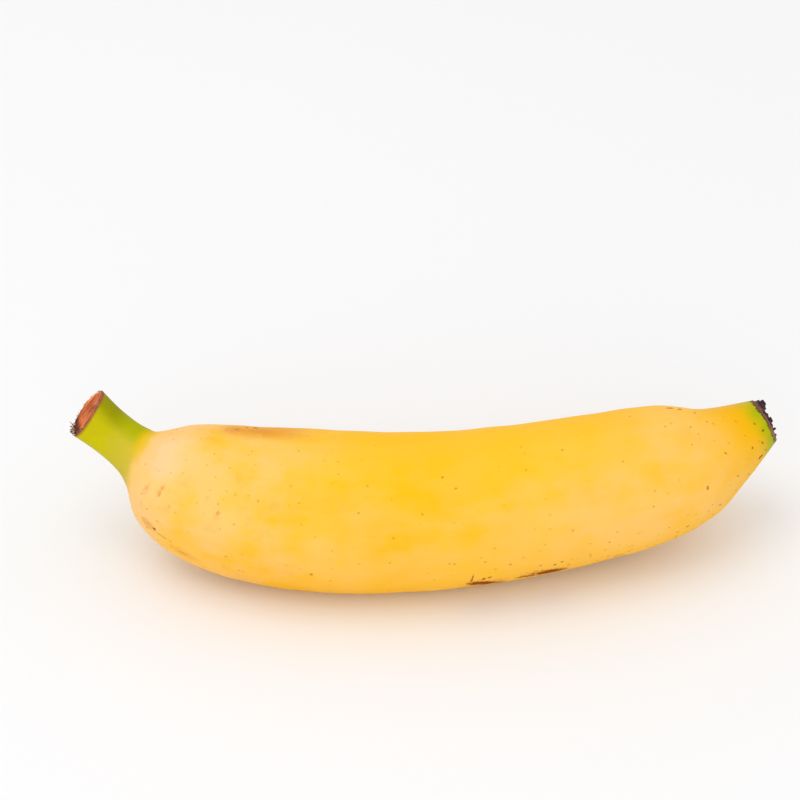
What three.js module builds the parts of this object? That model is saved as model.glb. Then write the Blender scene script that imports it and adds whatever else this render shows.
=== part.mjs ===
// A whole ripe banana lying on its side, with a cut green stem and a dry blossom end.
// Millimetres, +Z up. +X runs from the stem cut to the blossom end, and -Y is the outer curve.
// The origin is the middle of the bounding box, on the surface that the fruit lies on.
import * as THREE from "three";

// Main sizes. Lengths run along the bent middle line, from the stem cut.
const FRUIT_LENGTH = 199.5; // stem cut to the rim of the blossom scar
const BODY_RADIUS = 22.2; // at the thickest place
const STEM_RADIUS = 6.5;
const STEM_LENGTH = 15; // cut end to the waist, where the neck starts to widen
const SCAR_RADIUS = 6.5; // rim of the blossom scar
const REST_DEPTH = 2.3; // how far the flat resting spot is pressed into the round underside

// Bend of the middle line
const BEND_RADIUS = 195;
const BEND_TILT_DEG = 14; // the plane of the bend rises from the surface towards the inner curve
const LEVEL_AT = 87; // the place where the middle line runs level along +X
const NECK_START = 13; // the neck turns the stem up and inwards between these two places
const NECK_END = 60;
const NECK_SWING_DEG = 5;
const NECK_LIFT_DEG = 23;
const EASE_START = 120; // the bend eases by EASE_DEG between these two places
const EASE_END = 155;
const EASE_DEG = 4;
const TIP_START = 165; // the tip turns up between these two places
const TIP_END = 190;
const TIP_LIFT_DEG = 12;

// Radius along the fruit
const OUTLINE = [
  [0, STEM_RADIUS * 1.1],
  [STEM_LENGTH * 0.5, STEM_RADIUS],
  [STEM_LENGTH, STEM_RADIUS * 1.05],
  [20, BODY_RADIUS * 0.4],
  [28, BODY_RADIUS * 0.71],
  [42, BODY_RADIUS * 0.9],
  [70, BODY_RADIUS],
  [110, BODY_RADIUS * 0.965],
  [145, BODY_RADIUS * 0.915],
  [165, BODY_RADIUS * 0.85],
  [176, BODY_RADIUS * 0.735],
  [186, BODY_RADIUS * 0.53],
  [FRUIT_LENGTH, SCAR_RADIUS],
];

// The dry remains of the flower: height above the scar's rim, and share of the rim's radius
const REMNANT = [
  [0.6, 0.9],
  [0.3, 0.76],
  [1.9, 0.64],
  [2.3, 0.36],
];
const REMNANT_TOP = 2.2;
const REMNANT_LOBE = 0.13; // depth of its lobes, as a share of the radius

// Blunt ridges along the peel, as shares of the radius, stronger at both ends
const RIDGES = 5;
const RIDGE_ANGLE_DEG = 90; // one ridge runs along the top
const RIDGE_BODY = 0.008;
const RIDGE_ENDS = 0.026;

// The stem is rounded but has flat sides, one of them to the front and up
const STEM_FLATS = 3;
const STEM_FLAT_ANGLE_DEG = 130;
const STEM_FLAT_DEPTH = 0.06; // as a share of the radius
const STEM_FLAT_END = 30; // they fade out between the waist and this place

// Slant of the stem cut, as slopes towards the inner side and the top
const CUT_SLANT_SIDE = -0.35;
const CUT_SLANT_TOP = 0.2;
const CUT_SLANT_REACH = 14; // the rings are square to the middle line from here on

// Fineness of the surface
const SIDES = 36;
const OUTLINE_STEPS = 60;
const LINE_STEPS = 120;

const PEEL_COLOUR = 0xfac63c;
const PEEL_ROUGHNESS = 0.45;

const { degToRad, smoothstep } = THREE.MathUtils;
const UP = new THREE.Vector3(0, 0, 1);

// Direction of the middle line, from its swing towards +Y and its lift above the surface
function direction(along) {
  const eased = degToRad(EASE_DEG) * smoothstep(along, EASE_START, EASE_END);
  const bend = (along - LEVEL_AT) / BEND_RADIUS - eased;
  const tilt = degToRad(BEND_TILT_DEG);
  const neck = 1 - smoothstep(along, NECK_START, NECK_END);
  const tip = smoothstep(along, TIP_START, TIP_END);
  const swing = bend * Math.cos(tilt) - degToRad(NECK_SWING_DEG) * neck;
  const lift = bend * Math.sin(tilt) - degToRad(NECK_LIFT_DEG) * neck + degToRad(TIP_LIFT_DEG) * tip;
  const level = Math.cos(lift);
  return new THREE.Vector3(level * Math.cos(swing), level * Math.sin(swing), Math.sin(lift));
}

// Point of the middle line, found by walking along it from its level place
function middlePoint(along) {
  const step = (along - LEVEL_AT) / LINE_STEPS;
  const point = new THREE.Vector3(0, 0, BODY_RADIUS - REST_DEPTH);
  for (let i = 0; i < LINE_STEPS; i += 1) {
    point.addScaledVector(direction(LEVEL_AT + (i + 0.5) * step), step);
  }
  return point;
}

// Radius of the peel at one place: the outline with its ridges and the stem's flat sides
function peelRadius(along, radius, angle) {
  const onStem = 1 - smoothstep(along, STEM_LENGTH, STEM_FLAT_END);
  const onNeck = 1 - smoothstep(along, STEM_LENGTH, NECK_END) - onStem;
  const onTip = smoothstep(along, TIP_START, TIP_END);
  const ridge = RIDGE_BODY + RIDGE_ENDS * (onNeck + onTip);
  const wave = Math.cos(RIDGES * (angle - degToRad(RIDGE_ANGLE_DEG)));
  const flat = Math.cos(STEM_FLATS * (angle - degToRad(STEM_FLAT_ANGLE_DEG)));
  return radius * (1 + ridge * wave - STEM_FLAT_DEPTH * onStem * flat);
}

// One ring of points around the middle line, pressed flat where it would go below the surface
function ring(along, radiusAt) {
  const forward = direction(along);
  const side = new THREE.Vector3().crossVectors(UP, forward).normalize();
  const top = new THREE.Vector3().crossVectors(forward, side);
  const centre = middlePoint(along);
  const atCut = 1 - smoothstep(along, 0, CUT_SLANT_REACH);
  const points = [];
  for (let j = 0; j < SIDES; j += 1) {
    const angle = (2 * Math.PI * j) / SIDES;
    const sideways = radiusAt(angle) * Math.cos(angle);
    const upwards = radiusAt(angle) * Math.sin(angle);
    const point = centre.clone();
    point.addScaledVector(side, sideways);
    point.addScaledVector(top, upwards);
    point.addScaledVector(forward, atCut * (sideways * CUT_SLANT_SIDE + upwards * CUT_SLANT_TOP));
    point.z = Math.max(point.z, 0);
    points.push(point);
  }
  return points;
}

function peelRings() {
  const outline = new THREE.SplineCurve(OUTLINE.map(([along, radius]) => new THREE.Vector2(along, radius)));
  return outline
    .getPoints(OUTLINE_STEPS)
    .map(({ x, y }) => ring(x, (angle) => peelRadius(x, y, angle)));
}

function remnantRings() {
  return REMNANT.map(([height, share], i) => {
    const lobe = i > 0 ? REMNANT_LOBE : 0;
    const radius = SCAR_RADIUS * share;
    return ring(FRUIT_LENGTH + height, (angle) => radius * (1 + lobe * Math.cos(RIDGES * angle)));
  });
}

// Closes a stack of rings into one body with a point in the middle of each end
function closedBody(rings, firstPoint, lastPoint) {
  const positions = [firstPoint, ...rings.flat(), lastPoint].flatMap((point) => point.toArray());
  const indices = [];
  const corner = (i, j) => 1 + i * SIDES + (j % SIDES);
  const last = rings.length - 1;
  const lastIndex = 1 + rings.length * SIDES;
  for (let j = 0; j < SIDES; j += 1) {
    indices.push(0, corner(0, j + 1), corner(0, j));
    for (let i = 0; i < last; i += 1) {
      indices.push(corner(i, j), corner(i, j + 1), corner(i + 1, j + 1));
      indices.push(corner(i, j), corner(i + 1, j + 1), corner(i + 1, j));
    }
    indices.push(lastIndex, corner(last, j), corner(last, j + 1));
  }
  const geometry = new THREE.BufferGeometry();
  geometry.setAttribute("position", new THREE.Float32BufferAttribute(positions, 3));
  geometry.setIndex(indices);
  return geometry;
}

function buildBanana() {
  const rings = [...peelRings(), ...remnantRings()];
  const geometry = closedBody(rings, middlePoint(0), middlePoint(FRUIT_LENGTH + REMNANT_TOP));
  geometry.computeBoundingBox();
  const middle = geometry.boundingBox.getCenter(new THREE.Vector3());
  geometry.translate(-middle.x, -middle.y, 0);
  geometry.computeVertexNormals();
  const look = { color: PEEL_COLOUR, roughness: PEEL_ROUGHNESS, metalness: 0 };
  const banana = new THREE.Mesh(geometry, new THREE.MeshStandardMaterial(look));
  banana.name = "banana";
  return banana;
}

const part = new THREE.Group();
part.name = "banana_part";
part.add(buildBanana());

export default part;
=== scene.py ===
import math

import bpy
import numpy as np
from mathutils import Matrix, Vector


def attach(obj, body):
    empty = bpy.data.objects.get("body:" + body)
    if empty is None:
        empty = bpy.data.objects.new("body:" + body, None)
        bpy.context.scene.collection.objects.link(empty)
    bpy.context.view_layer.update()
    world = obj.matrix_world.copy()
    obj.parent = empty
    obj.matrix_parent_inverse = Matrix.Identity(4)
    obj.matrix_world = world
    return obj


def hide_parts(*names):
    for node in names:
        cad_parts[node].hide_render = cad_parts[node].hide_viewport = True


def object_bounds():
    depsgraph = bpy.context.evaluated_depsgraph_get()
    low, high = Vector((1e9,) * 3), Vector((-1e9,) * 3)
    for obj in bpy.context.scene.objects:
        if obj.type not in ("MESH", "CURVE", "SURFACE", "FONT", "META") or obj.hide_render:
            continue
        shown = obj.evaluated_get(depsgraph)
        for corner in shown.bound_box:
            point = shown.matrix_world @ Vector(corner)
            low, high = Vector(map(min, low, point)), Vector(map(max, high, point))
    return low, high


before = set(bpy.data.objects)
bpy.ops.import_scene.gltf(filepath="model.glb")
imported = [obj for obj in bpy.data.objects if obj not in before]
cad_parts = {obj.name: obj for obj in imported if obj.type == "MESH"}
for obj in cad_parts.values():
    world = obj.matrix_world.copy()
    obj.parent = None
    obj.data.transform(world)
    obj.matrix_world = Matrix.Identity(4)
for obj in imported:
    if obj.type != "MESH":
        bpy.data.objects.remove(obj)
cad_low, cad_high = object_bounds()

MM = 0.001

# The fruit in millimetres. Lengths run along its bent middle line, from the stem cut.
FRUIT_LENGTH = 199.5
BODY_RADIUS = 22.2
STEM_RADIUS = 6.5
STEM_LENGTH = 15.0
SCAR_RADIUS = 6.5
REST_DEPTH = 2.3

# Bend of the middle line
BEND_RADIUS = 195.0
BEND_TILT_DEG = 14.0
LEVEL_AT = 87.0
NECK_START, NECK_END = 13.0, 60.0
NECK_SWING_DEG, NECK_LIFT_DEG = 5.0, 23.0
EASE_START, EASE_END, EASE_DEG = 120.0, 155.0, 4.0
TIP_START, TIP_END, TIP_LIFT_DEG = 165.0, 190.0, 12.0

# Radius along the fruit
OUTLINE = [
    (0, STEM_RADIUS * 1.1),
    (STEM_LENGTH * 0.5, STEM_RADIUS),
    (STEM_LENGTH, STEM_RADIUS * 1.05),
    (20, BODY_RADIUS * 0.4),
    (28, BODY_RADIUS * 0.71),
    (42, BODY_RADIUS * 0.9),
    (70, BODY_RADIUS),
    (110, BODY_RADIUS * 0.965),
    (145, BODY_RADIUS * 0.915),
    (165, BODY_RADIUS * 0.85),
    (176, BODY_RADIUS * 0.735),
    (186, BODY_RADIUS * 0.53),
    (FRUIT_LENGTH, SCAR_RADIUS),
]

# Blunt ridges along the peel
RIDGES = 5
RIDGE_ANGLE_DEG = 90.0
RIDGE_BODY, RIDGE_ENDS = 0.008, 0.026

# The stem is rounded but has flat sides
STEM_FLATS, STEM_FLAT_ANGLE_DEG, STEM_FLAT_DEPTH, STEM_FLAT_END = 3, 130.0, 0.06, 30.0

# Slant of the stem cut
CUT_SLANT_SIDE, CUT_SLANT_TOP, CUT_SLANT_REACH = -0.35, 0.2, 14.0

# Slight slant of the blossom scar, which only the skin has
SCAR_SLANT_SIDE, SCAR_SLANT_TOP, SCAR_SLANT_REACH = 0.14, -0.1, 14.0

# Slight unevenness of a grown fruit: length of each wave along the fruit, and number of waves around it
DENT_WAVES = [(58, 2), (37, 3), (26, 1), (19, 4), (13, 5)]
DENT_DEPTH = 0.05
DENT_RISE, DENT_FADE = (22, 50), (180, 197)
DENT_SEED = 21

# The shoulder of the peel meets the neck in a shallow fold, along a line that leans towards the stem on top
NECK_LEAN_SIDE, NECK_LEAN_TOP = -0.3, 2.6
GROOVE_AT, GROOVE_WIDTH, GROOVE_DEPTH = 20.2, 1.3, 0.3
SWELL_AT, SWELL_WIDTH, SWELL_HEIGHT = 23.6, 2.2, 0.25
FOLD_BELOW = 0.35  # share of the fold that is left on the underside

# Fineness of the peel and of the curves that it follows
PEEL_RINGS = 366
PEEL_SIDES = 240
OUTLINE_STEPS = 4000
LINE_STEPS = 4300
LINE_START, LINE_PAST_END = -5, 8  # the middle line goes on a little past both ends

# Camera, floor and light, in metres, degrees and watts, with the lens and its sensor in millimetres
CAMERA_AIM = (-0.0077, 0.043, 0.022)
CAMERA_AWAY = 0.79
CAMERA_ELEVATION_DEG = 37.0
CAMERA_LENS = 124.2
CAMERA_SENSOR = 36.0
FLOOR_HALF = 3.0
ROOM_STRENGTH = 0.88
TOP_LIGHT = {"place": (-0.35, -0.1, 1.2), "size": 1.0, "power": 3.2}
FRONT_LIGHT = {"place": (-0.1, -1.2, 0.4), "size": 1.2, "power": 3.0}


def srgb(red, green, blue):
    """A colour as the eye reads it on a screen, turned into light."""
    parts = []
    for part in (red, green, blue):
        share = part / 255
        parts.append(share / 12.92 if share <= 0.04045 else ((share + 0.055) / 1.055) ** 2.4)
    return (*parts, 1.0)


YELLOW = srgb(250, 191, 42)
GOLD = srgb(248, 184, 8)
PEACH = srgb(252, 202, 136)
CREAM_YELLOW = srgb(250, 194, 80)
AMBER = srgb(232, 188, 16)
TAN = srgb(232, 156, 30)
# Deeper gold of the tip, partly its own colour and partly painted shade
TIP_GOLD_AND_SHADE = srgb(240, 178, 0)
TOP_GOLD = srgb(250, 193, 0)
# Pale colour of the painted highlight on the shoulder
SHOULDER_HIGHLIGHT = srgb(255, 214, 180)
STEM_GREEN = srgb(146, 144, 0)
STEM_LIME = srgb(170, 172, 0)
STEM_YELLOW = srgb(191, 181, 6)
STEM_PALE = srgb(208, 181, 74)
STEM_BRIGHT = srgb(204, 194, 0)
TIP_GREEN = srgb(162, 177, 4)
TIP_YELLOW = srgb(214, 180, 10)
SPECK_BROWN = srgb(140, 92, 18)
SPECK_OCHRE = srgb(178, 132, 14)
SCUFF_BROWN = srgb(132, 54, 0)
EDGE_BROWN = srgb(166, 78, 0)
BRUISE = srgb(222, 148, 70)
RUST = srgb(248, 136, 76)
RUST_DARK = srgb(156, 76, 44)
RUST_EDGE = srgb(116, 40, 16)
CUT_DARK = srgb(74, 36, 36)
RUST_PALE = srgb(252, 190, 150)
CUT_CREAM = srgb(238, 208, 176)
SCAR_DARK = srgb(52, 32, 40)
SCAR_BROWN = srgb(108, 66, 62)
SCAR_TAN = srgb(176, 124, 98)
DRY_EDGE = srgb(160, 108, 84)
DRY_PLUM = srgb(82, 44, 50)
CUT_EDGE = srgb(170, 104, 26)
FLOOR_WHITE = srgb(242, 242, 243)


def smoothstep(value, low, high):
    share = np.clip((value - low) / (high - low), 0, 1)
    return share * share * (3 - 2 * share)


def smooth_line(stations, steps):
    """Points on a smooth curve through the stations, evenly spaced between each two of them."""
    stations = np.asarray(stations, float)
    last = len(stations) - 1
    place = np.linspace(0, last, steps)
    i = np.minimum(place.astype(int), last - 1)
    w = (place - i)[:, None]
    before, start = stations[np.maximum(i - 1, 0)], stations[i]
    end, after = stations[i + 1], stations[np.minimum(i + 2, last)]
    leave, arrive = (end - before) / 2, (after - start) / 2
    cubic = 2 * start - 2 * end + leave + arrive
    square = -3 * start + 3 * end - 2 * leave - arrive
    return cubic * w**3 + square * w**2 + leave * w + start


OUTLINE_CURVE = smooth_line(OUTLINE, OUTLINE_STEPS)


def outline_radius(along):
    return np.interp(along, OUTLINE_CURVE[:, 0], OUTLINE_CURVE[:, 1])


def directions(along):
    """Direction of the middle line, from its swing towards +Y and its lift above the surface."""
    eased = math.radians(EASE_DEG) * smoothstep(along, EASE_START, EASE_END)
    bend = (along - LEVEL_AT) / BEND_RADIUS - eased
    tilt = math.radians(BEND_TILT_DEG)
    neck = 1 - smoothstep(along, NECK_START, NECK_END)
    tip = smoothstep(along, TIP_START, TIP_END)
    swing = bend * math.cos(tilt) - math.radians(NECK_SWING_DEG) * neck
    lift = bend * math.sin(tilt) - math.radians(NECK_LIFT_DEG) * neck
    lift = lift + math.radians(TIP_LIFT_DEG) * tip
    return np.stack([np.cos(lift) * np.cos(swing), np.cos(lift) * np.sin(swing), np.sin(lift)], -1)


def walk_middle_line():
    along = np.linspace(LINE_START, FRUIT_LENGTH + LINE_PAST_END, LINE_STEPS)
    forward = directions(along)
    steps = (forward[1:] + forward[:-1]) / 2 * (along[1] - along[0])
    points = np.concatenate([np.zeros((1, 3)), np.cumsum(steps, axis=0)])
    level = [np.interp(LEVEL_AT, along, points[:, k]) for k in range(3)]
    return along, points - level + [0, 0, BODY_RADIUS - REST_DEPTH]


LINE_ALONG, LINE_POINTS = walk_middle_line()


def middle_points(along):
    return np.stack([np.interp(along, LINE_ALONG, LINE_POINTS[:, k]) for k in range(3)], -1)


def rings_around(along, radius, angles):
    """Rings of points in millimetres around the middle line, pressed flat where the fruit lies."""
    along = np.asarray(along, float)
    forward = directions(along)
    side = np.cross([0, 0, 1], forward)
    side /= np.linalg.norm(side, axis=-1, keepdims=True)
    top = np.cross(forward, side)
    at_cut = 1 - smoothstep(along, 0, CUT_SLANT_REACH)
    at_scar = smoothstep(along, FRUIT_LENGTH - SCAR_SLANT_REACH, FRUIT_LENGTH)
    sideways, upwards = radius * np.cos(angles), radius * np.sin(angles)
    lengthways = at_cut[:, None] * (sideways * CUT_SLANT_SIDE + upwards * CUT_SLANT_TOP)
    lengthways = lengthways + at_scar[:, None] * (sideways * SCAR_SLANT_SIDE + upwards * SCAR_SLANT_TOP)
    points = middle_points(along)[:, None, :] + sideways[..., None] * side[:, None, :]
    points = points + upwards[..., None] * top[:, None, :] + lengthways[..., None] * forward[:, None, :]
    points[..., 2] = np.maximum(points[..., 2], 0)
    return points


def ring_angles(sides):
    """Angles around the fruit, from underneath: 0 is the inner side and a quarter turn is the top."""
    return np.arange(sides) * 2 * math.pi / sides - math.pi / 2


def ridge_wave(angles):
    return np.cos(RIDGES * (angles - math.radians(RIDGE_ANGLE_DEG)))


def peel_radius(along, angles):
    along = np.asarray(along, float)[:, None]
    on_stem = 1 - smoothstep(along, STEM_LENGTH, STEM_FLAT_END)
    on_neck = 1 - smoothstep(along, STEM_LENGTH, NECK_END) - on_stem
    on_tip = smoothstep(along, TIP_START, TIP_END)
    ridges = (RIDGE_BODY + RIDGE_ENDS * (on_neck + on_tip)) * ridge_wave(angles)
    flat_wave = np.cos(STEM_FLATS * (angles - math.radians(STEM_FLAT_ANGLE_DEG)))
    return outline_radius(along) * (1 + ridges - STEM_FLAT_DEPTH * on_stem * flat_wave)


def seat_on_solid():
    """Slides the middle line so that the peel's low corner meets the low corner of the solid."""
    angles = ring_angles(PEEL_SIDES)
    along = np.linspace(0, FRUIT_LENGTH, PEEL_RINGS)
    corner = rings_around(along, peel_radius(along, angles), angles).min(axis=(0, 1))
    LINE_POINTS[:, :2] += np.array(cad_low)[:2] / MM - corner[:2]


def slow_dents(along, angles):
    """Slight unevenness of a grown fruit, in millimetres, fading out at both ends."""
    rng = np.random.default_rng(DENT_SEED)
    along = np.asarray(along, float)[:, None]
    total = 0 * along * angles
    for length, around in DENT_WAVES:
        first, second = rng.uniform(0, 2 * math.pi, 2)
        total = total + np.sin(2 * math.pi * along / length + first) * np.sin(around * angles + second)
    return DENT_DEPTH * total * smoothstep(along, *DENT_RISE) * (1 - smoothstep(along, *DENT_FADE))


def neck_fold(along, angles):
    """A shallow fold, in millimetres, where the shoulder of the peel meets the neck."""
    lean = NECK_LEAN_SIDE * np.cos(angles) + NECK_LEAN_TOP * np.sin(angles)
    line = np.asarray(along, float)[:, None] + lean
    groove = -GROOVE_DEPTH * np.exp(-(((line - GROOVE_AT) / GROOVE_WIDTH) ** 2))
    swell = SWELL_HEIGHT * np.exp(-(((line - SWELL_AT) / SWELL_WIDTH) ** 2))
    on_top = smoothstep(np.sin(angles), -0.3, 0.8)
    return (groove + swell) * (FOLD_BELOW + (1 - FOLD_BELOW) * on_top)


def skin_faces(count, sides):
    """Faces that close a stack of rings with a first and a last point."""
    i, j = np.meshgrid(np.arange(count - 1), np.arange(sides), indexing="ij")
    i, j = i.ravel(), j.ravel()
    k = (j + 1) % sides
    quads = np.stack([i * sides + j, i * sides + k, (i + 1) * sides + k, (i + 1) * sides + j], -1) + 1
    j = np.arange(sides)
    k = (j + 1) % sides
    tail = 1 + (count - 1) * sides
    starts = np.stack([np.zeros(sides, int), 1 + k, 1 + j], -1)
    ends = np.stack([np.full(sides, tail + sides), tail + j, tail + k], -1)
    return quads.tolist() + starts.tolist() + ends.tolist()


def mesh_object(name, points, faces):
    mesh = bpy.data.meshes.new(name)
    mesh.from_pydata((np.asarray(points) * MM).tolist(), [], faces)
    piece = bpy.data.objects.new(name, mesh)
    bpy.context.scene.collection.objects.link(piece)
    return piece


def skin_object(name, rings, first, last):
    """A smooth closed mesh from a stack of rings and a point at each end, with an unrolled map."""
    points = np.concatenate([[first], rings.reshape(-1, 3), [last]])
    piece = mesh_object(name, points, skin_faces(*rings.shape[:2]))
    unroll(piece.data, rings, first, last)
    piece.data.shade_smooth()
    return piece


def cluster_object(name, stacks):
    """One mesh of many small closed bodies, each a stack of rings with a first and a last point."""
    points, faces, start = [], [], 0
    for rings, first, last in stacks:
        body = np.concatenate([[first], rings.reshape(-1, 3), [last]])
        points.append(body)
        faces += [[start + corner for corner in face] for face in skin_faces(*rings.shape[:2])]
        start += len(body)
    return mesh_object(name, np.concatenate(points), faces)


def unroll(mesh, rings, first, last):
    """Lays the skin out flat: its length across the map and its girth up the map."""
    count, sides = rings.shape[:2]
    inner = np.linalg.norm(rings[0] - first, axis=-1).mean()
    outer = np.linalg.norm(rings[-1] - last, axis=-1).mean()
    steps = np.linalg.norm(np.diff(rings, axis=0), axis=-1).mean(axis=1)
    length = np.concatenate([[inner], inner + np.cumsum(steps)])
    length = length / (length[-1] + outer)
    i, j = np.meshgrid(np.arange(count - 1), np.arange(sides), indexing="ij")
    i, j = i.ravel(), j.ravel()
    low, high = j / sides, (j + 1) / sides
    across = np.stack([length[i], length[i], length[i + 1], length[i + 1]], -1)
    up = np.stack([low, high, high, low], -1)
    j = np.arange(sides)
    low, high, half = j / sides, (j + 1) / sides, (j + 0.5) / sides
    zero, one = np.zeros(sides), np.ones(sides)
    first_across = np.stack([zero, zero + length[0], zero + length[0]], -1)
    last_across = np.stack([one, zero + length[-1], zero + length[-1]], -1)
    first_up, last_up = np.stack([half, high, low], -1), np.stack([half, low, high], -1)
    across = np.concatenate([across.ravel(), first_across.ravel(), last_across.ravel()])
    up = np.concatenate([up.ravel(), first_up.ravel(), last_up.ravel()])
    layer = mesh.uv_layers.new(name="OFBake")
    layer.data.foreach_set("uv", np.stack([across, up], -1).ravel())


def give_numbers(piece, name, values):
    """Stores one number, or one vector, at each point of the mesh for the finish to read."""
    values = np.asarray(values, np.float32)
    kind, key = ("FLOAT", "value") if values.ndim == 1 else ("FLOAT_VECTOR", "vector")
    layer = piece.data.attributes.new(name, kind, "POINT")
    layer.data.foreach_set(key, values.ravel())


# Sockets of a Mix node that hold its colours
MIX_FIRST, MIX_SECOND, MIX_RESULT = 6, 7, 2


class Wire:
    """A socket of a finish that takes part in Python arithmetic."""

    def __init__(self, finish, socket):
        self.finish = finish
        self.socket = socket

    def out(self, name):
        """Another output of the same node."""
        return Wire(self.finish, self.socket.node.outputs[name])

    def sum_up(self, operation, left, right=0.0):
        return self.finish.node("ShaderNodeMath", {"operation": operation}, {0: left, 1: right})

    def __add__(self, other):
        return self.sum_up("ADD", self, other)

    def __radd__(self, other):
        return self.sum_up("ADD", other, self)

    def __sub__(self, other):
        return self.sum_up("SUBTRACT", self, other)

    def __rsub__(self, other):
        return self.sum_up("SUBTRACT", other, self)

    def __mul__(self, other):
        return self.sum_up("MULTIPLY", self, other)

    def __rmul__(self, other):
        return self.sum_up("MULTIPLY", other, self)

    def __truediv__(self, other):
        return self.sum_up("DIVIDE", self, other)

    def __pow__(self, other):
        return self.sum_up("POWER", self, other)

    def __lt__(self, other):
        return self.sum_up("LESS_THAN", self, other)

    def rise(self, low, high):
        """0 below low and 1 above high, smoothly between them."""
        values = {"Value": self, "From Min": low, "From Max": high}
        return self.finish.node("ShaderNodeMapRange", {"interpolation_type": "SMOOTHSTEP"}, values)


class Finish:
    """A material made of nodes around one surface shader."""

    def __init__(self, name):
        self.material = bpy.data.materials.new(name)
        self.material.use_nodes = True
        self.tree = self.material.node_tree
        self.tree.nodes.clear()
        self.shader = self.tree.nodes.new("ShaderNodeBsdfPrincipled")
        output = self.tree.nodes.new("ShaderNodeOutputMaterial")
        self.tree.links.new(self.shader.outputs["BSDF"], output.inputs["Surface"])

    def fill(self, socket, value):
        if isinstance(value, Wire):
            self.tree.links.new(value.socket, socket)
        else:
            socket.default_value = value

    def node(self, kind, settings=None, values=None, output=0):
        made = self.tree.nodes.new(kind)
        for key, value in (settings or {}).items():
            setattr(made, key, value)
        for key, value in (values or {}).items():
            self.fill(made.inputs[key], value)
        return Wire(self, made.outputs[output])

    def number(self, name, output="Fac"):
        return self.node("ShaderNodeAttribute", {"attribute_name": name}, output=output)

    def place(self):
        return self.node("ShaderNodeTexCoord", output="Object")

    def stretched(self, vector, by):
        return self.node("ShaderNodeVectorMath", {"operation": "MULTIPLY"}, {0: vector, 1: by})

    def parts(self, vector):
        x = self.node("ShaderNodeSeparateXYZ", values={0: vector})
        return x, x.out("Y"), x.out("Z")

    def noise(self, vector, size, detail=2.0, roughness=0.5):
        """Soft clouds about this size in metres."""
        values = {"Vector": vector, "Scale": 1 / size, "Detail": detail, "Roughness": roughness}
        return self.node("ShaderNodeTexNoise", values=values)

    def cells(self, vector, size):
        """Distance to points scattered on a flat map about this far apart, in shares of that distance."""
        values = {"Vector": vector, "Scale": 1 / size}
        return self.node("ShaderNodeTexVoronoi", {"voronoi_dimensions": "2D"}, values)

    def mix(self, share, first, second):
        """The second colour laid over the first one, by this share."""
        values = {"Factor": share, MIX_FIRST: first, MIX_SECOND: second}
        return self.node("ShaderNodeMix", {"data_type": "RGBA"}, values, MIX_RESULT)

    def bump(self, height, depth):
        """A normal bent by the height, which stands for this depth in metres."""
        return self.node("ShaderNodeBump", values={"Height": height, "Distance": depth})

    def surface(self, **sockets):
        for name, value in sockets.items():
            self.fill(self.shader.inputs[name.replace("_", " ")], value)
        return self.material


def specks(finish, flat, apart, size, share):
    """Small dots in millimetres: about this far apart, up to this size, on this share of the places."""
    spot = finish.cells(flat, apart)
    pick, grow, _ = finish.parts(spot.out("Color"))
    reach = (grow * 0.7 + 0.3) * (size / apart)
    return (1 - (spot / reach).rise(0.35, 1.0)) * (pick < share)


# Brown marks on the peel: place along, angle around, half length, half width, lean in degrees, strength
MARKS = [
    (110, 206, 0.3, 3.2, 6, 0.75),
    (113, 217, 4.4, 2.0, 20, 0.95),
    (111, 215, 2.4, 1.8, 8, 0.9),
    (117, 222, 2.6, 1.2, 22, 0.7),
    (113, 207, 0.7, 0.8, 0, 0.85),
    (114.5, 206, 0.6, 0.7, 0, 0.8),
    (124, 218, 3.2, 1.2, 8, 0.75),
    (130, 217, 5.4, 2.2, 12, 0.95),
    (131, 204, 0.45, 0.6, 0, 0.8),
    (133, 202, 0.45, 0.6, 0, 0.7),
    (149, 216, 2.0, 0.9, 0, 0.35),
    (173, 72, 1.5, 0.7, 0, 0.8),
    (176, 76, 0.9, 0.6, 0, 0.8),
    (197, 148, 0.45, 0.4, 0, 0.7),
    (195, 166, 0.4, 0.35, 0, 0.65),
    (191, 160, 0.4, 0.4, 0, 0.7),
    (193, 198, 1.0, 0.5, 34, 0.95),
    (192.4, 198, 0.5, 0.6, 0, 0.95),
    (32, 197, 0.55, 0.7, 0, 0.9),
    (34, 199, 2.2, 0.5, -8, 0.35),
    (40, 206, 1.6, 0.7, 0, 0.2),
    (104, 117, 0.4, 0.4, 0, 0.5),
    (107, 126, 0.45, 0.4, 0, 0.45),
    (173, 165, 0.5, 0.6, 0, 0.65),
    (71, 192, 0.6, 0.6, 0, 0.55),
    (30, 150, 0.3, 0.9, 10, 0.25),
    (30, 155, 0.35, 0.7, 0, 0.22),
    (26, 160, 0.35, 0.7, 0, 0.2),
    (43, 143, 1.0, 0.6, 0, 0.12),
    (47, 152, 0.7, 0.9, 20, 0.28),
    (57, 138, 0.5, 0.4, 0, 0.4),
    (44, 74, 0.9, 0.6, 0, 0.5),
    (47, 66, 0.8, 0.7, 0, 0.6),
    (50, 64, 1.2, 1.0, 0, 0.7),
]

# Faint bruises, written in the same way
BRUISES = [
    (30, 152, 0.9, 2.6, 10, 0.3),
    (26, 162, 0.9, 2.4, 5, 0.26),
    (30, 200, 2.2, 2.2, 0, 0.5),
    (40, 206, 4.0, 2.2, 0, 0.3),
    (113, 218, 6.4, 3.4, 14, 0.6),
    (129, 217, 7.4, 3.4, 10, 0.6),
    (43, 74, 4.4, 3.0, 0, 0.6),
    (52, 72, 4.0, 2.4, 0, 0.5),
]


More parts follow.
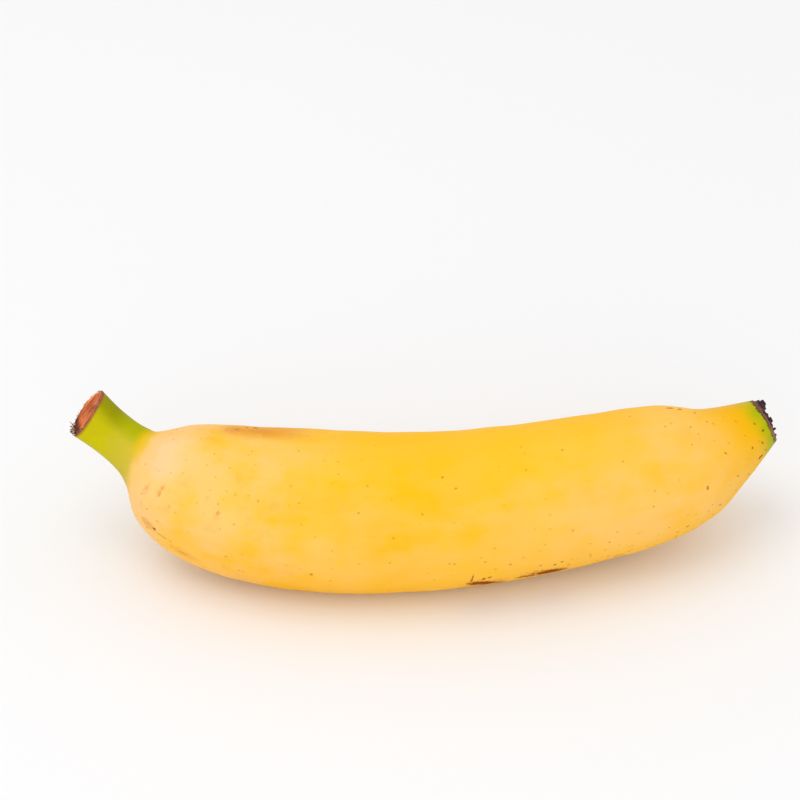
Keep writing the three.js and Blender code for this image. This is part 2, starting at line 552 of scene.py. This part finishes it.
def mark_mask(marks, along, turn, ragged):
    """The marks as one mask with ragged edges. Turn is the angle from the top, in radians."""
    total = None
    for place, angle, length, width, lean, strength in marks:
        radius = float(outline_radius(place))
        ahead = along - place
        across = (turn - math.radians(angle - 90)) * radius
        c, s = math.cos(math.radians(lean)), math.sin(math.radians(lean))
        lengthways = ahead * (c / length) + across * (s / length)
        sideways = across * (c / width) - ahead * (s / width)
        far = lengthways**2 + sideways**2
        mask = (1 - (far + ragged).rise(0.2, 1.1)) * strength
        total = mask if total is None else total.sum_up("MAXIMUM", total, mask)
    return total


# Places along the peel, in millimetres, between which its colours come and go
STEM_END_FADE = (38.0, 92.0)
SHOULDER_FADE = (25.0, 42.0)
PALE_RISE, PALE_FADE = (112.0, 150.0), (176.0, 192.0)
SHOULDER_HIGHLIGHT_RISE, SHOULDER_HIGHLIGHT_FADE = (20.0, 25.0), (27.0, 35.0)
GOLD_TOP_RISE, GOLD_TOP_FADE = (60.0, 85.0), (146.0, 172.0)
GOLD_TIP_RISE = (176.0, 194.0)
TAN_BAND_RISE, TAN_BAND_FADE = (34.0, 46.0), (54.0, 74.0)
BRIGHT_FADE = (8.0, 18.0)
LIME_RISE = (5.0, 13.0)
TIP_YELLOW_RISE, TIP_GREEN_RISE = (192.4, 197.2), (195.0, 199.0)
DRY_RISE, DRY_PALE_RISE = (198.5, 199.0), (198.9, 199.3)
TIP_SPECK_RISE, DARK_SPECK_RISE, LOW_SPECK_RISE = (165.0, 190.0), (150.0, 185.0), (110.0, 150.0)

# Depth of the fine relief in metres, and how rough and how shiny each surface is
PEEL_RELIEF, CUT_RELIEF, SCAR_RELIEF = 0.00012, 0.0004, 0.0003
CUT_ROUGHNESS, SCAR_ROUGHNESS, FLOOR_ROUGHNESS = 0.85, 0.8, 0.8
PEEL_SHINE, CUT_SHINE, SCAR_SHINE = 0.05, 0.2, 0.25


def peel_finish():
    """Waxy yellow peel, green at the stem and the tip, clouded with paler and deeper patches."""
    peel = Finish("peel")
    place = peel.place()
    along = peel.number("along")
    inner, upper, _ = peel.parts(peel.number("around", "Vector"))
    turn = peel.node("ShaderNodeMath", {"operation": "ARCTAN2"}, {0: 0 - inner, 1: upper})
    lengthways = peel.stretched(peel.number("straight", "Vector"), (0.36, 1.0, 1.0))

    broad = peel.noise(place, 0.034, 2.0)
    cloud = peel.noise(place, 0.013, 4.0, 0.55)
    blotch = peel.noise(place, 0.0055, 4.0, 0.6)
    streak = peel.noise(lengthways, 0.006, 4.0, 0.6)
    grain = peel.noise(lengthways, 0.0012, 2.0)
    fleck = peel.noise(place, 0.0008, 3.0, 0.65)
    flat = peel.node("ShaderNodeCombineXYZ", values={0: along, 1: turn * peel.number("girth")})
    ragged = peel.stretched(peel.noise(place, 0.0006, 2.0).out("Color"), (0.5, 0.5, 0.0))
    flat = peel.node("ShaderNodeVectorMath", {"operation": "ADD"}, {0: flat, 1: ragged})

    # The body: gold and yellow, paler at both ends, deeper gold along the top, with painted sheen that
    # pales the side facing the camera and the front lamp
    stem_end = 1 - along.rise(*STEM_END_FADE)
    shoulder = 1 - along.rise(*SHOULDER_FADE)
    blossom_end = along.rise(*PALE_RISE) * (1 - along.rise(*PALE_FADE))
    # Painted sheen: the clouded paleness is made stronger on the side that faces the camera and the front
    # lamp
    face = (upper * 0.6 - inner * 0.8).rise(0.15, 0.9)
    colour = peel.mix(broad.rise(0.34, 0.6), GOLD, YELLOW)
    colour = peel.mix(streak.rise(0.35, 0.7) * 0.4, colour, CREAM_YELLOW)
    clouded = (cloud * 0.8 + streak * 0.2).rise(0.3, 0.62)
    paleness = (0.06 + face * 0.14 + stem_end * 0.37) * clouded
    paleness = paleness + blossom_end * (0.1 + face * 0.2) * (0.55 + clouded * 0.45)
    colour = peel.mix(paleness, colour, PEACH)
    colour = peel.mix(shoulder * (0.25 + cloud * 0.6), colour, PEACH)
    # Painted highlight: a pale patch on the shoulder, on the side that faces up towards the lamps and the
    # camera
    shoulder_highlight = along.rise(*SHOULDER_HIGHLIGHT_RISE) * (1 - along.rise(*SHOULDER_HIGHLIGHT_FADE))
    shoulder_highlight = shoulder_highlight * (upper * 0.87 - inner * 0.5).rise(0.84, 1.0)
    colour = peel.mix(shoulder_highlight * (0.1 + cloud * 0.5), colour, SHOULDER_HIGHLIGHT)
    # Deeper gold along the top of the fruit's middle
    gold_top = upper.rise(0.5, 1.0) * along.rise(*GOLD_TOP_RISE) * (1 - along.rise(*GOLD_TOP_FADE)) * 0.6
    # Deeper gold round the tip: its own colour all round, plus painted shade that makes it stronger on the
    # upper side
    tip_gold_and_shade = along.rise(*GOLD_TIP_RISE) * (0.4 + upper.rise(-0.2, 0.8) * 0.55)
    colour = peel.mix(gold_top, colour, TOP_GOLD)
    colour = peel.mix(tip_gold_and_shade, colour, TIP_GOLD_AND_SHADE)
    # A tan band along the top edge on the inner side, between the neck and the middle
    inner_top = (upper * 0.94 + inner * 0.34).rise(0.94, 1.0)
    tan_band = inner_top * along.rise(*TAN_BAND_RISE) * (1 - along.rise(*TAN_BAND_FADE))
    colour = peel.mix(tan_band * (0.55 + streak.rise(0.35, 0.6) * 0.45), colour, TAN)
    near_tip = along.rise(*TIP_SPECK_RISE)
    ends = stem_end * 0.6 + near_tip * 0.5
    colour = peel.mix(blotch.rise(0.56, 0.72) * (ends * 0.3 + 0.05), colour, BRUISE)
    bruises = mark_mask(BRUISES, along, turn, (blotch - 0.5) * 3.0 + (fleck - 0.5) * 4.0)
    colour = peel.mix(bruises, colour, BRUISE)

    # The stem: green above, partly its own colour and partly painted shade, and yellower below, up to a
    # line round the neck
    neck_line = along + (streak - 0.5) * 2.4 + inner * NECK_LEAN_SIDE + upper * NECK_LEAN_TOP
    under = (0 - upper).rise(-0.2, 0.7)
    neck = 1 - neck_line.rise(19.0 - under * 2.4, 21.8 + under * 0.2)
    rim = neck_line.rise(17.0, 20.0) * (1 - neck_line.rise(20.6, 22.8))
    # Partly painted shade: the darker green is laid on the upper side of the stem
    stem_shade = (upper + inner * 0.45 + (streak - 0.5) * 0.6).rise(0.4, 1.08)
    stem_colour = peel.mix((blotch * 0.5 + along * 0.03).rise(0.35, 1.0) * 0.8, STEM_YELLOW, STEM_PALE)
    bright = cloud.rise(0.5, 0.62) * 0.5 * (1 - along.rise(*BRIGHT_FADE))
    stem_colour = peel.mix(bright, stem_colour, STEM_BRIGHT)
    stem_green = peel.mix(along.rise(*LIME_RISE), STEM_GREEN, STEM_LIME)
    stem_colour = peel.mix(stem_shade, stem_colour, stem_green)
    cut_edge = 1 - (along + (blotch - 0.5) * 1.2).rise(0.1, 0.8)
    stem_colour = peel.mix(cut_edge * 0.65, stem_colour, CUT_EDGE)
    colour = peel.mix(neck, colour, stem_colour)
    colour = peel.mix(rim * (0.1 + upper.rise(0.3, 0.95) * 0.65), colour, AMBER)

    # The tip: yellow, then green, then a dry plum and tan line round the scar
    tip_line = along + (streak - 0.5) * 3.0 + (blotch - 0.5) * 4.0 + upper * 0.3 + under * 1.6
    tip_green = tip_line.rise(*TIP_GREEN_RISE) * (1 - inner.rise(-0.6, 0.5) * 0.4)
    tip_colour = peel.mix(tip_green, TIP_YELLOW, TIP_GREEN)
    colour = peel.mix(tip_line.rise(*TIP_YELLOW_RISE) * 0.92, colour, tip_colour)
    dry_line = along + (blotch - 0.5) * 2.4 + (fleck - 0.5) * 1.6
    plum = 1 - dry_line.rise(*DRY_PALE_RISE) * (0.9 - upper.rise(0.3, 0.75) * 0.7)
    colour = peel.mix(dry_line.rise(*DRY_RISE) * 0.9, colour, peel.mix(plum, DRY_EDGE, DRY_PLUM))

    # Specks and marks
    low_edge = (0 - inner * 0.7 - upper * 0.7).rise(0.66, 0.95) * along.rise(*LOW_SPECK_RISE)
    faint_specks = specks(peel, flat, 3.6, 0.6, ends * 0.5 + broad.rise(0.4, 0.65) * 0.3) * 0.36
    dark_share = 0.3 + near_tip * 0.3
    dark_specks = specks(peel, flat, 7.5, 0.62, dark_share) * (0.4 + along.rise(*DARK_SPECK_RISE) * 0.3)
    edge_specks = specks(peel, flat, 2.6, 0.7, low_edge * 0.38) * 0.55
    marks = mark_mask(MARKS, along, turn, (fleck - 0.5) * 3.0 + (grain - 0.5) * 1.0)
    colour = peel.mix(faint_specks * (1 - neck), colour, SPECK_OCHRE)
    colour = peel.mix(dark_specks * (1 - neck), colour, SPECK_BROWN)
    colour = peel.mix(edge_specks, colour, EDGE_BROWN)
    colour = peel.mix(marks, colour, SCUFF_BROWN)

    roughness = 0.44 + cloud * 0.12 + marks * 0.2
    relief = grain * 0.5 + streak * 0.5 - marks * 0.6
    return peel.surface(
        Base_Color=colour,
        Roughness=roughness,
        Normal=peel.bump(relief, PEEL_RELIEF),
        Specular_IOR_Level=PEEL_SHINE,
    )


def cut_finish():
    """Dry rusty cut with coarse fibres across it, a dark line near its edge and a cream edge."""
    cut = Finish("stem_cut")
    grain = cut.number("grain", "Vector")
    ahead, across, share = cut.parts(grain)
    fibre = cut.noise(cut.stretched(grain, (0.12, 1.3, 0.0)), 0.9, 4.0, 0.6)
    strand = cut.noise(cut.stretched(grain, (0.2, 2.6, 0.0)), 1.1, 3.0, 0.6)
    patch = cut.noise(grain, 3.0, 3.0)
    colour = cut.mix(fibre.rise(0.36, 0.62), RUST_DARK, RUST)
    colour = cut.mix(strand.rise(0.56, 0.7) * 0.7, colour, RUST_PALE)
    low_end = (ahead - across * 0.15 + patch * 2.0).rise(3.4, 5.6)
    high_end = (0 - ahead + patch * 3.0).rise(5.0, 8.0)
    colour = cut.mix(high_end * 0.45, colour, RUST_DARK)
    colour = cut.mix(low_end * strand.rise(0.3, 0.45) * 0.9, colour, CUT_DARK)
    edge = share + (patch - 0.5) * 0.05
    far_side = 1 - across.rise(-3.0, 2.5)
    dark_line = edge.rise(0.88, 0.96) * (1 - far_side) * (0.5 + strand.rise(0.4, 0.55) * 0.45)
    colour = cut.mix(dark_line, colour, RUST_EDGE)
    cream_line = edge.rise(0.8, 0.92) * (far_side * 0.8 + 0.12) * strand.rise(0.3, 0.5)
    colour = cut.mix(cream_line, colour, CUT_CREAM)
    return cut.surface(
        Base_Color=colour,
        Roughness=CUT_ROUGHNESS,
        Normal=cut.bump(fibre + strand, CUT_RELIEF),
        Specular_IOR_Level=CUT_SHINE,
    )


def fibre_finish():
    """Torn fibres, some of them dark and some pale."""
    fibre = Finish("torn_fibre")
    shade = fibre.noise(fibre.place(), 0.0007, 2.0)
    colour = fibre.mix(shade.rise(0.5, 0.62), CUT_DARK, CUT_CREAM)
    return fibre.surface(Base_Color=colour, Roughness=CUT_ROUGHNESS, Specular_IOR_Level=CUT_SHINE)


def scar_finish():
    """Dry dark blossom scar with a tan edge."""
    scar = Finish("blossom_scar")
    place = scar.place()
    share = scar.number("share")
    patch = scar.noise(place, 0.0016, 4.0, 0.6)
    crease = scar.noise(place, 0.0005, 3.0)
    colour = scar.mix(patch.rise(0.42, 0.64), SCAR_DARK, SCAR_BROWN)
    lip = (share + (patch - 0.5) * 0.06).rise(0.945, 0.985)
    colour = scar.mix(lip * 0.45, colour, SCAR_TAN)
    colour = scar.mix(crease.rise(0.55, 0.7) * 0.5, colour, SCAR_DARK)
    return scar.surface(
        Base_Color=colour,
        Roughness=SCAR_ROUGHNESS,
        Normal=scar.bump(patch + crease, SCAR_RELIEF),
        Specular_IOR_Level=SCAR_SHINE,
    )


def flake_finish():
    """Dry dark flakes of the old flower."""
    flake = Finish("blossom_flake")
    patch = flake.noise(flake.place(), 0.0012, 4.0, 0.6)
    colour = flake.mix(patch.rise(0.5, 0.72), SCAR_DARK, SCAR_BROWN)
    return flake.surface(
        Base_Color=colour,
        Roughness=SCAR_ROUGHNESS,
        Normal=flake.bump(patch, SCAR_RELIEF),
        Specular_IOR_Level=SCAR_SHINE,
    )


def build_peel():
    angles = ring_angles(PEEL_SIDES)
    along = np.linspace(0, FRUIT_LENGTH, PEEL_RINGS)
    radius = peel_radius(along, angles) + slow_dents(along, angles) + neck_fold(along, angles)
    rings = rings_around(along, radius, angles)
    peel = skin_object("banana_peel", rings, rings[0].mean(axis=0), rings[-1].mean(axis=0))
    each_along = np.concatenate([[0], np.repeat(along, PEEL_SIDES), [FRUIT_LENGTH]])
    each_angle = np.concatenate([[0], np.tile(angles, PEEL_RINGS), [0]])
    cos, sin = np.cos(each_angle), np.sin(each_angle)
    radius = outline_radius(each_along)
    give_numbers(peel, "along", each_along)
    give_numbers(peel, "around", np.stack([cos, sin, 0 * cos], -1))
    give_numbers(peel, "girth", radius)
    give_numbers(peel, "straight", np.stack([each_along, radius * cos, radius * sin], -1) * MM)
    peel.data.materials.append(peel_finish())
    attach(peel, "root")
    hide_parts("banana")


# The cut face: share of the stem's radius, and height over the cut in millimetres
CUT_PROFILE = [(0.6, -2.5), (0.92, -2.0), (0.975, -0.7), (1.0, -0.1), (1.006, 0.14), (0.985, 0.26)]
CUT_RISE, CUT_DOME = 0.2, 0.25  # height of the face at its edge, and what its middle adds to that
CUT_ROOT = 2.5  # how deep the piece starts inside the stem
CUT_FACE_RINGS = 34
CUT_SIDES = 180
CUT_GRAIN = (-0.54, -0.51, -0.67)  # way the fibres run across the cut, to its lower end
CUT_SEED = 11
FIBRE_WIDTHS = (0.55, 0.8, 1.1, 1.7, 2.6)
FIBRE_RELIEF, TORN_RELIEF = 0.1, 0.16


def cut_plane():
    """Middle of the stem cut, its way out, the way of its fibres and the way across them."""
    angles = ring_angles(CUT_SIDES)
    rim = rings_around([0.0], peel_radius([0.0], angles), angles)[0]
    middle = rim.mean(axis=0)
    out = np.cross(rim[CUT_SIDES // 4] - middle, rim[0] - middle)
    out /= np.linalg.norm(out)
    grain = np.array(CUT_GRAIN) - np.dot(CUT_GRAIN, out) * out
    grain /= np.linalg.norm(grain)
    return rim, middle, out, grain, np.cross(out, grain)


def fibre_height(ahead, across, rng):
    """Ridges of many widths that run along the fibres."""
    height = 0 * ahead
    for width in FIBRE_WIDTHS:
        phase, sway = rng.uniform(0, 2 * math.pi, 2)
        bend = 0.35 * width * np.sin(ahead / 3.1 + sway)
        height = height + width**0.5 * np.sin(2 * math.pi * (across + bend) / width + phase)
    return height


def build_stem_cut():
    rng = np.random.default_rng(CUT_SEED)
    rim, middle, out, grain, over = cut_plane()
    rim = rim[::-1]
    inward = np.linspace(0.965, 0.03, CUT_FACE_RINGS)
    profile = CUT_PROFILE + [(share, CUT_RISE + CUT_DOME * (1 - share**2)) for share in inward]
    shares = np.array([share for share, _ in profile])
    heights = np.array([height for _, height in profile])
    flat = shares[:, None, None] * (rim - middle)[None]
    ahead, across = flat @ grain, flat @ over
    on_face = smoothstep(np.arange(len(profile)), 3.5, 6.0)[:, None]
    relief = FIBRE_RELIEF * fibre_height(ahead, across, rng) * on_face
    torn = TORN_RELIEF * fibre_height(across * 0 + 1.0, np.arctan2(across, ahead) * 5.0, rng)
    at_edge = smoothstep(shares, 0.88, 1.0)[:, None] * on_face
    height = heights[:, None] + relief * (1 - at_edge) + torn * at_edge
    rings = middle + flat + height[..., None] * out
    cut = skin_object("stem_cut", rings, middle - CUT_ROOT * out, rings[-1].mean(axis=0))
    each_share = np.repeat(shares, CUT_SIDES)
    numbers = np.stack([ahead.ravel(), across.ravel(), each_share], -1)
    give_numbers(cut, "grain", np.concatenate([[[0, 0, 0]], numbers, [[0, 0, 0]]]))
    cut.data.materials.append(cut_finish())
    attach(cut, "root")


# Torn fibres: how many at the lower end and elsewhere, and the angles from the lower end that they take up
LOW_FIBRES, OTHER_FIBRES = 24, 34
LOW_ANGLES, OTHER_ANGLES = (-0.65, 0.65), (0.7, 5.6)
FIBRE_SIDES, FIBRE_RINGS = 6, 5
FIBRE_SEED = 5


def hair_stack(root, way, length, radius, droop):
    """A thin tapering fibre from its root, bent by the droop vector."""
    way = way / np.linalg.norm(way)
    side = np.cross(way, [0.3, 0.9, 0.2])
    side /= np.linalg.norm(side)
    top = np.cross(way, side)
    angles = np.arange(FIBRE_SIDES) * 2 * math.pi / FIBRE_SIDES
    rings = []
    for share in np.linspace(0, 0.9, FIBRE_RINGS):
        centre = root + way * length * share + droop * share**2
        thick = radius * (1 - 0.75 * share)
        rings.append([centre + thick * (math.cos(a) * side + math.sin(a) * top) for a in angles])
    return np.array(rings), root - way * radius, root + way * length + droop


def build_cut_fibres():
    """Torn fibres round the edge of the cut, longest and thickest at its lower end."""
    rng = np.random.default_rng(FIBRE_SEED)
    rim, middle, out, grain, over = cut_plane()
    stacks = []
    low_angles = rng.uniform(*LOW_ANGLES, LOW_FIBRES)
    other_angles = rng.uniform(*OTHER_ANGLES, OTHER_FIBRES)
    for angle in np.concatenate([low_angles, other_angles]):
        lower = angle < OTHER_ANGLES[0]
        way_out = math.cos(angle) * grain + math.sin(angle) * over
        nearest = np.argmax((rim - middle) @ way_out / np.linalg.norm(rim - middle, axis=-1))
        root = middle + (rim[nearest] - middle) * rng.uniform(0.9, 0.97) - 0.1 * out
        way = out + way_out * rng.uniform(-0.2, 0.35) + rng.normal(0, 0.2, 3)
        length = rng.uniform(0.9, 1.9) if lower else rng.uniform(0.35, 0.9)
        radius = rng.uniform(0.2, 0.34) if lower else rng.uniform(0.1, 0.17)
        stacks.append(hair_stack(root, way, length, radius, rng.normal(0, 0.15, 3)))
    fibres = cluster_object("cut_fibres", stacks)
    fibres.data.materials.append(fibre_finish())
    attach(fibres, "root")


# The blossom scar: height over the rim in millimetres, and share of the rim's radius
SCAR_PROFILE = [
    (-2.4, 0.7),
    (-1.4, 0.9),
    (-0.5, 0.975),
    (-0.05, 0.99),
    (0.25, 0.998),
    (0.42, 0.975),
    (0.5, 0.93),
    (0.95, 0.88),
    (1.2, 0.8),
    (1.05, 0.7),
    (1.3, 0.58),
    (0.9, 0.46),
    (0.6, 0.34),
    (1.1, 0.26),
    (1.6, 0.19),
    (1.75, 0.1),
]
SCAR_SIDES = 150
SCAR_STEPS = 60
SCAR_SEED = 3
SCAR_LUMPS = (3, 5, 8, 13, 21)  # waves around it
SCAR_FULL_DEG = 70  # the dry remains stand highest at this angle around
SCAR_LOW = 0.45  # share of their height on the other side


def build_blossom_scar():
    rng = np.random.default_rng(SCAR_SEED)
    line = smooth_line(SCAR_PROFILE, SCAR_STEPS)
    angles = ring_angles(SCAR_SIDES)
    heights, shares = line[:, 0], line[:, 1]
    lumps = 0 * angles
    for waves in SCAR_LUMPS:
        lumps = lumps + np.sin(waves * angles + rng.uniform(0, 2 * math.pi)) / waves**0.5
    crown = smoothstep(heights, 0.4, 0.9) * smoothstep(1 - shares, 0.08, 0.2)
    lip = np.exp(-(((shares - 0.98) / 0.05) ** 2)) * smoothstep(heights, -0.4, 0.2)
    ridged = 1 + (RIDGE_BODY + RIDGE_ENDS) * ridge_wave(angles)
    share = shares[:, None] * (1 + (0.05 * crown + 0.012 * lip)[:, None] * lumps) * ridged
    full_side = smoothstep(np.cos(angles - math.radians(SCAR_FULL_DEG)), -0.2, 0.8)
    full = SCAR_LOW + (1 - SCAR_LOW) * full_side
    height = np.maximum(heights, 0)[:, None] * full + np.minimum(heights, 0)[:, None]
    height = height + (0.3 * crown + 0.1 * lip)[:, None] * lumps * full
    columns = []
    for k in range(SCAR_SIDES):
        radius = (SCAR_RADIUS * share[:, k])[:, None]
        columns.append(rings_around(FRUIT_LENGTH + height[:, k], radius, angles[k : k + 1]))
    rings = np.concatenate(columns, axis=1)
    scar = skin_object("blossom_scar", rings, rings[0].mean(axis=0), rings[-1].mean(axis=0))
    each_share = np.concatenate([shares[:1], np.repeat(shares, SCAR_SIDES), [0]])
    give_numbers(scar, "share", each_share)
    scar.data.materials.append(scar_finish())
    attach(scar, "root")


# Flakes of the old flower: angle around in degrees, share of the rim's radius,
# and width, thickness and height in millimetres
FLAKES = [
    (58, 0.86, 2.2, 1.3, 1.6),
    (74, 0.84, 2.4, 1.5, 2.3),
    (88, 0.86, 2.2, 1.4, 2.4),
    (101, 0.87, 1.9, 1.2, 1.7),
    (118, 0.88, 2.0, 0.9, 1.0),
    (137, 0.87, 1.5, 1.1, 1.5),
    (40, 0.84, 2.2, 1.0, 1.3),
    (18, 0.85, 1.8, 0.9, 1.7),
    (350, 0.85, 2.0, 0.9, 1.0),
    (325, 0.86, 1.5, 0.8, 1.2),
    (296, 0.86, 1.9, 0.7, 0.9),
    (266, 0.86, 1.4, 0.7, 0.9),
    (236, 0.85, 1.7, 0.7, 0.8),
    (205, 0.85, 1.2, 0.6, 0.8),
    (72, 0.62, 1.8, 1.2, 2.2),
    (8, 0.6, 1.6, 1.1, 1.9),
    (300, 0.58, 1.5, 1.0, 1.6),
    (228, 0.58, 1.4, 1.0, 1.5),
    (148, 0.6, 1.5, 1.0, 1.7),
]


FLAKE_SIDES, FLAKE_LEVELS = 7, 5
FLAKE_ROOT = 0.5  # how deep a flake starts inside the scar
FLAKE_SEED = 8


def scar_point(lift, share, turn):
    """A point this high over the rim of the scar, at this share of its radius and this angle around."""
    return rings_around([FRUIT_LENGTH + lift], [[SCAR_RADIUS * share]], np.array([turn]))[0, 0]


def flake_stack(angle, share, width, thickness, height, rng):
    """An angular dry flake that stands on the scar."""
    turn = math.radians(angle)
    foot = scar_point(-FLAKE_ROOT, share, turn)
    head = scar_point(height, share * 0.97, turn)
    outwards = scar_point(0, 1.0, turn) - scar_point(0, 0.5, turn)
    outwards /= np.linalg.norm(outwards)
    up = (head - foot) / np.linalg.norm(head - foot)
    sideways = np.cross(outwards, up)
    corners = np.arange(FLAKE_SIDES) * 2 * math.pi / FLAKE_SIDES + rng.uniform(0, 1)
    rough = rng.uniform(0.75, 1.2, FLAKE_SIDES)
    rings = []
    for level in np.linspace(0, 1, FLAKE_LEVELS):
        slim = (1 - 0.35 * level) * rng.uniform(0.85, 1.1)
        centre = foot + (head - foot) * level + rng.normal(0, 0.06, 3)
        spread = rough * slim * rng.uniform(0.85, 1.12, FLAKE_SIDES)
        across = np.outer(np.cos(corners) * spread * width / 2, sideways)
        deep = np.outer(np.sin(corners) * spread * thickness / 2, outwards)
        jag = np.outer(rng.normal(0, 0.14, FLAKE_SIDES) * level, up)
        rings.append(centre + across + deep + jag)
    return np.array(rings), foot - 0.1 * up, head + up * rng.uniform(-0.1, 0.12)


def build_blossom_flakes():
    rng = np.random.default_rng(FLAKE_SEED)
    flakes = cluster_object("blossom_flakes", [flake_stack(*flake, rng) for flake in FLAKES])
    flakes.data.materials.append(flake_finish())
    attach(flakes, "root")


def build_floor():
    mesh = bpy.data.meshes.new("floor")
    half = FLOOR_HALF
    corners = [(-half, -half, 0), (half, -half, 0), (half, half, 0), (-half, half, 0)]
    mesh.from_pydata(corners, [], [(0, 1, 2, 3)])
    floor = bpy.data.objects.new("floor", mesh)
    bpy.context.scene.collection.objects.link(floor)
    paper = Finish("pale_floor")
    mesh.materials.append(paper.surface(Base_Color=FLOOR_WHITE, Roughness=FLOOR_ROUGHNESS))


def build_camera():
    camera = bpy.data.objects.new("camera", bpy.data.cameras.new("camera"))
    camera.data.lens = CAMERA_LENS
    camera.data.sensor_width = CAMERA_SENSOR
    elevation = math.radians(CAMERA_ELEVATION_DEG)
    x, y, z = CAMERA_AIM
    camera.location = (x, y - CAMERA_AWAY * math.cos(elevation), z + CAMERA_AWAY * math.sin(elevation))
    camera.rotation_euler = (math.pi / 2 - elevation, 0, 0)
    bpy.context.scene.collection.objects.link(camera)
    bpy.context.scene.camera = camera


def soft_light(name, place, size, power):
    """A round lamp that faces the origin."""
    lamp = bpy.data.lights.new(name, "AREA")
    lamp.shape = "DISK"
    lamp.size = size
    lamp.energy = power
    light = bpy.data.objects.new(name, lamp)
    light.location = place
    towards = -np.array(place)
    flat = math.hypot(towards[0], towards[1])
    light.rotation_euler = (math.atan2(flat, -towards[2]), 0, math.atan2(-towards[0], towards[1]))
    bpy.context.scene.collection.objects.link(light)


def build_light():
    world = bpy.data.worlds.new("white_room")
    world.use_nodes = True
    background = world.node_tree.nodes["Background"]
    background.inputs["Color"].default_value = (1.0, 1.0, 1.0, 1.0)
    background.inputs["Strength"].default_value = ROOM_STRENGTH
    scene = bpy.context.scene
    scene.world = world
    scene.view_settings.view_transform = "Standard"
    soft_light("top_light", **TOP_LIGHT)
    soft_light("front_light", **FRONT_LIGHT)


build_camera()
build_light()
build_floor()
seat_on_solid()
build_peel()
build_stem_cut()
build_cut_fibres()
build_blossom_scar()
build_blossom_flakes()
